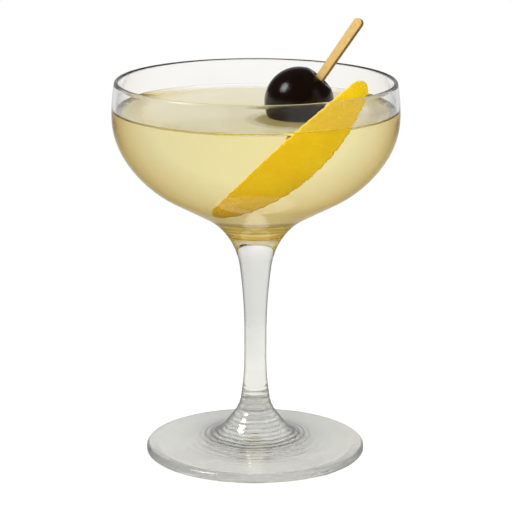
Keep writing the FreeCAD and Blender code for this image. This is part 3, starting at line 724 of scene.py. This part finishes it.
def peelFlat():
    # the strip laid out flat: u along it, v across it, and through it from 0 at the zest to 1 at the pith
    upper = (np.array([0.0, 0.0]), peel["tipRound"])
    lower = (np.array([-peel["span"], -peel["drift"]]), peel["endRound"])
    start, end = peel["tipRound"], -peel["span"] - peel["endRound"]
    bend = 0.5 - 0.5 * np.cos(np.linspace(0, np.pi, peel["along"] + 2)[1:-1])
    along = (start + (end - start) * bend)[:, None]
    high = edgeLine(along, upper, lower, peel["innerEdge"], 1)
    low = edgeLine(along, upper, lower, peel["outerEdge"], -1)
    random = np.random.default_rng(peel["seed"])
    # the cut edges are ragged in full where the strip is wide, and less towards its ends
    inner = ragged(random, along, peel["raggedInner"])
    high = high - inner * np.minimum(1, (high - low) / peel["raggedWidth"])
    outer = ragged(random, along, peel["raggedOuter"])
    low = low + outer * np.minimum(1, (high - low) / peel["raggedWidth"])
    between = np.linspace(0.01, 0.99, peel["between"])
    halfDepth = peel["thickness"] / 2 + 0 * along
    across, inward = boxSection((high - low) / 2, halfDepth, peel["rounding"], between)
    v = (high + low) / 2 + across
    u = along + 0 * v
    inward = inward + poreDepth(random, u, v) * (inward < 0)
    return u, v, 0.5 + inward / peel["thickness"]


def makePeel():
    # x and z are the flat strip's turned by the slant; y follows the bowl, set in from the wall by the
    # gap and by how far through the strip a point is
    u, v, through = peelFlat()
    tilt = math.radians(peel["slant"])
    x = peel["tipX"] + u * math.cos(tilt) - v * math.sin(tilt)
    z = lipHeight + peel["tipRise"] + u * math.sin(tilt) + v * math.cos(tilt)
    inset = glass["wall"] + peel["gap"]
    top = lipHeight + peel["tipRise"] + 2 * peel["tipRound"]
    near, far = (bowlInside(inset + depth, top)[::-1] for depth in (0, peel["thickness"]))
    nearRadius, farRadius = (np.interp(z, line[:, 1], line[:, 0]) for line in (near, far))
    radius = nearRadius + (farRadius - nearRadius) * through
    y = -np.sqrt(np.maximum(radius ** 2 - x ** 2, 0))
    pith = np.clip((through - peel["pithStart"]) / peel["pithFade"], 0, 1)
    addPiece("lemon_peel_strip", carriedPoints(x, y, z), ringFaces(*x.shape), makeZest(), "lemon_peel",
             marked=("pith", faceChoice(pith, 0.5)))


makePeel()


pick = dict(
    showing=22.7, beyond=1.0, width=3.3, footWidth=2.6, point=7.0, tipWidth=0.8, thickness=2.1,
    lean=34.0, twist=-30.0, offset=1.3, along=160, headSteps=20, rounding=0.3, sideStart=0.9, sideFade=0.08,
)


def makePick():
    # a squared-off section carried down the length, as wide as the outline is there, then twisted and leaned
    length = pick["showing"] + 2 * cherryRadius + pick["beyond"]
    head = pick["width"] / 2
    down = np.concatenate([head * (1 - np.cos(np.linspace(0, np.pi / 2, pick["headSteps"])))[1:],
                           np.linspace(head, length, pick["along"])[1:]])[:, None]
    half = np.interp(down, [head, length - pick["point"], length],
                     [head, pick["footWidth"] / 2, pick["tipWidth"] / 2])
    half = np.where(down < head, np.sqrt(np.maximum(head ** 2 - (head - down) ** 2, 0)), half)
    x, y = boxSection(half, pick["thickness"] / 2 + 0 * half, pick["rounding"])
    rings = np.stack([x, y, -down + 0 * x], axis=-1)
    points = np.concatenate([[[0, 0, 0]], rings.reshape(-1, 3), [[0, 0, -length]]])
    twist = np.array(Matrix.Rotation(math.radians(pick["twist"]), 3, "Z"))
    lean = np.array(Matrix.Rotation(math.radians(pick["lean"]), 3, "Y"))
    above = cherryRadius + pick["showing"]
    sine, cosine = math.sin(math.radians(pick["lean"])), math.cos(math.radians(pick["lean"]))
    top = cherryMiddle + [pick["offset"] * cosine + above * sine, 0, above * cosine - pick["offset"] * sine]
    faces = [face[::-1] for face in ringFaces(*x.shape)]
    # the narrow sides are darkened by painted shade
    side = np.clip((np.abs(x) / half - pick["sideStart"]) / pick["sideFade"], 0, 1)
    addPiece("pick_bamboo", points @ twist.T @ lean.T + top, faces, makeBamboo(), "pick",
             smoothAngle=40, marked=("side", faceChoice(side, 0)))


makePick()


# the studio, in metres: a white table that fades out, a white room, lamps and a camera

studio = dict(
    tableWhite=0.99, tableRoughness=0.9, tableSize=1.2, tableFade=(0.08, 0.22),
    worldOnThings=0.76, roomGloss=0.08, wallGloss=0.5, wallFade=(0.8, 0.98),
    rightSide=0.92, rightFade=(-0.1, 0.5), front=0.2, frontFade=(-0.96, -0.86),
    cameraPlace=(0, -0.800036, 0.267162), cameraDown=13.875, cameraRoll=0.139,
    lens=168.03, sensor=36, shift=0.00076, lampAim=(0, 0, 0.09), bounces=24,
)

lamps = (
    dict(name="left softbox", place=(-0.61, -0.19, 0.75), size=(0.3, 0.3), power=4.2, mirrored=True),
    dict(name="right softbox", place=(0.75, -0.35, 0.45), size=(0.3, 0.5), power=0.3, mirrored=True),
    dict(name="front fill", place=(-0.3, -1.3, 0.4), size=(1.0, 0.6), power=8.0, mirrored=False),
)


def addLamp(name, place, size, power, mirrored):
    # a rectangle turned to the middle of the glass, never seen itself, though things may mirror it
    data = bpy.data.lights.new(name, "AREA")
    data.shape, data.size, data.size_y, data.energy = "RECTANGLE", size[0], size[1], power
    lamp = bpy.data.objects.new(name, data)
    lamp.location = place
    aim = np.array(studio["lampAim"]) - place
    lamp.rotation_euler = (math.atan2(math.hypot(aim[0], aim[1]), -aim[2]), 0, math.atan2(-aim[0], aim[1]))
    lamp.visible_camera = lamp.visible_transmission = False
    lamp.visible_glossy = mirrored
    bpy.context.scene.collection.objects.link(lamp)


def makeTable():
    material, nodes, links, shader = newMaterial("white table")
    shader.inputs["Base Color"].default_value = (*[studio["tableWhite"]] * 3, 1)
    shader.inputs["Roughness"].default_value = studio["tableRoughness"]
    shader.inputs["Specular IOR Level"].default_value = 0
    place = addNode(nodes, links, "TexCoord").outputs["Object"]
    reach = addMath(nodes, links, "LENGTH", place, kind="VectorMath")
    fade = addFade(nodes, links, reach, studio["tableFade"])
    # mirror-like surfaces don't see the table, only the dim room
    path = addNode(nodes, links, "LightPath").outputs
    mirrored = addMath(nodes, links, "SUBTRACT", path["Is Glossy Ray"], path["Is Transmission Ray"])
    hidden = addMath(nodes, links, "MAXIMUM", fade, mirrored)
    clear = addNode(nodes, links, "BsdfTransparent").outputs["BSDF"]
    mix = addNode(nodes, links, "MixShader", {"Fac": hidden, 1: shader.outputs["BSDF"], 2: clear})
    links.new(mix.outputs["Shader"], nodes["Material Output"].inputs["Surface"])
    corners = np.array([[-1, -1, 0], [1, -1, 0], [1, 1, 0], [-1, 1, 0]]) * studio["tableSize"] / 2
    mesh = bpy.data.meshes.new("table")
    mesh.from_pydata(corners.tolist(), [], [(0, 1, 2, 3)])
    mesh.materials.append(material)
    table = bpy.data.objects.new("table", mesh)
    bpy.context.scene.collection.objects.link(table)


def makeWorld():
    # plain white to look at or through; mirror-like surfaces see a dim room with a white wall behind
    world = bpy.data.worlds.new("white room")
    bpy.context.scene.world = world
    world.use_nodes = True
    nodes, links = world.node_tree.nodes, world.node_tree.links
    rays = addNode(nodes, links, "LightPath").outputs
    place = addNode(nodes, links, "TexCoord").outputs["Generated"]
    axes = addNode(nodes, links, "SeparateXYZ", {"Vector": place}).outputs

    def choose(ray, when, otherwise):
        # one strength for this kind of ray and another for the rest
        return addNode(nodes, links, "Mix", {
            "Factor": rays[ray], "A": otherwise, "B": when}).outputs["Result"]

    behind = addFade(nodes, links, axes["Y"], studio["wallFade"],
                     studio["roomGloss"], studio["wallGloss"], smooth=True)
    onThings = choose("Is Glossy Ray", behind, studio["worldOnThings"])
    # light that has passed through glass sees white too, a little less on the right and dim straight in front
    right = addFade(nodes, links, axes["X"], studio["rightFade"], 1, studio["rightSide"], smooth=True)
    front = addFade(nodes, links, axes["Y"], studio["frontFade"], studio["front"], 1, smooth=True)
    through = choose("Is Transmission Ray", addMath(nodes, links, "MULTIPLY", right, front), onThings)
    sky = nodes["Background"]
    sky.inputs["Color"].default_value = (1, 1, 1, 1)
    links.new(choose("Is Camera Ray", 1.0, through), sky.inputs["Strength"])


def makeCamera():
    data = bpy.data.cameras.new("camera")
    data.lens, data.sensor_width, data.shift_x = studio["lens"], studio["sensor"], studio["shift"]
    camera = bpy.data.objects.new("camera", data)
    pitch = Matrix.Rotation(math.radians(90 - studio["cameraDown"]), 3, "X")
    roll = Matrix.Rotation(math.radians(studio["cameraRoll"]), 3, "Z")
    camera.location = studio["cameraPlace"]
    camera.rotation_euler = (pitch @ roll).to_euler()
    bpy.context.scene.collection.objects.link(camera)
    bpy.context.scene.camera = camera


makeTable()
makeWorld()
makeCamera()
for lamp in lamps:
    addLamp(**lamp)
bpy.context.scene.view_settings.view_transform = "Standard"
cycles = bpy.context.scene.cycles
cycles.max_bounces = cycles.transmission_bounces = cycles.glossy_bounces = studio["bounces"]
print("studio set")
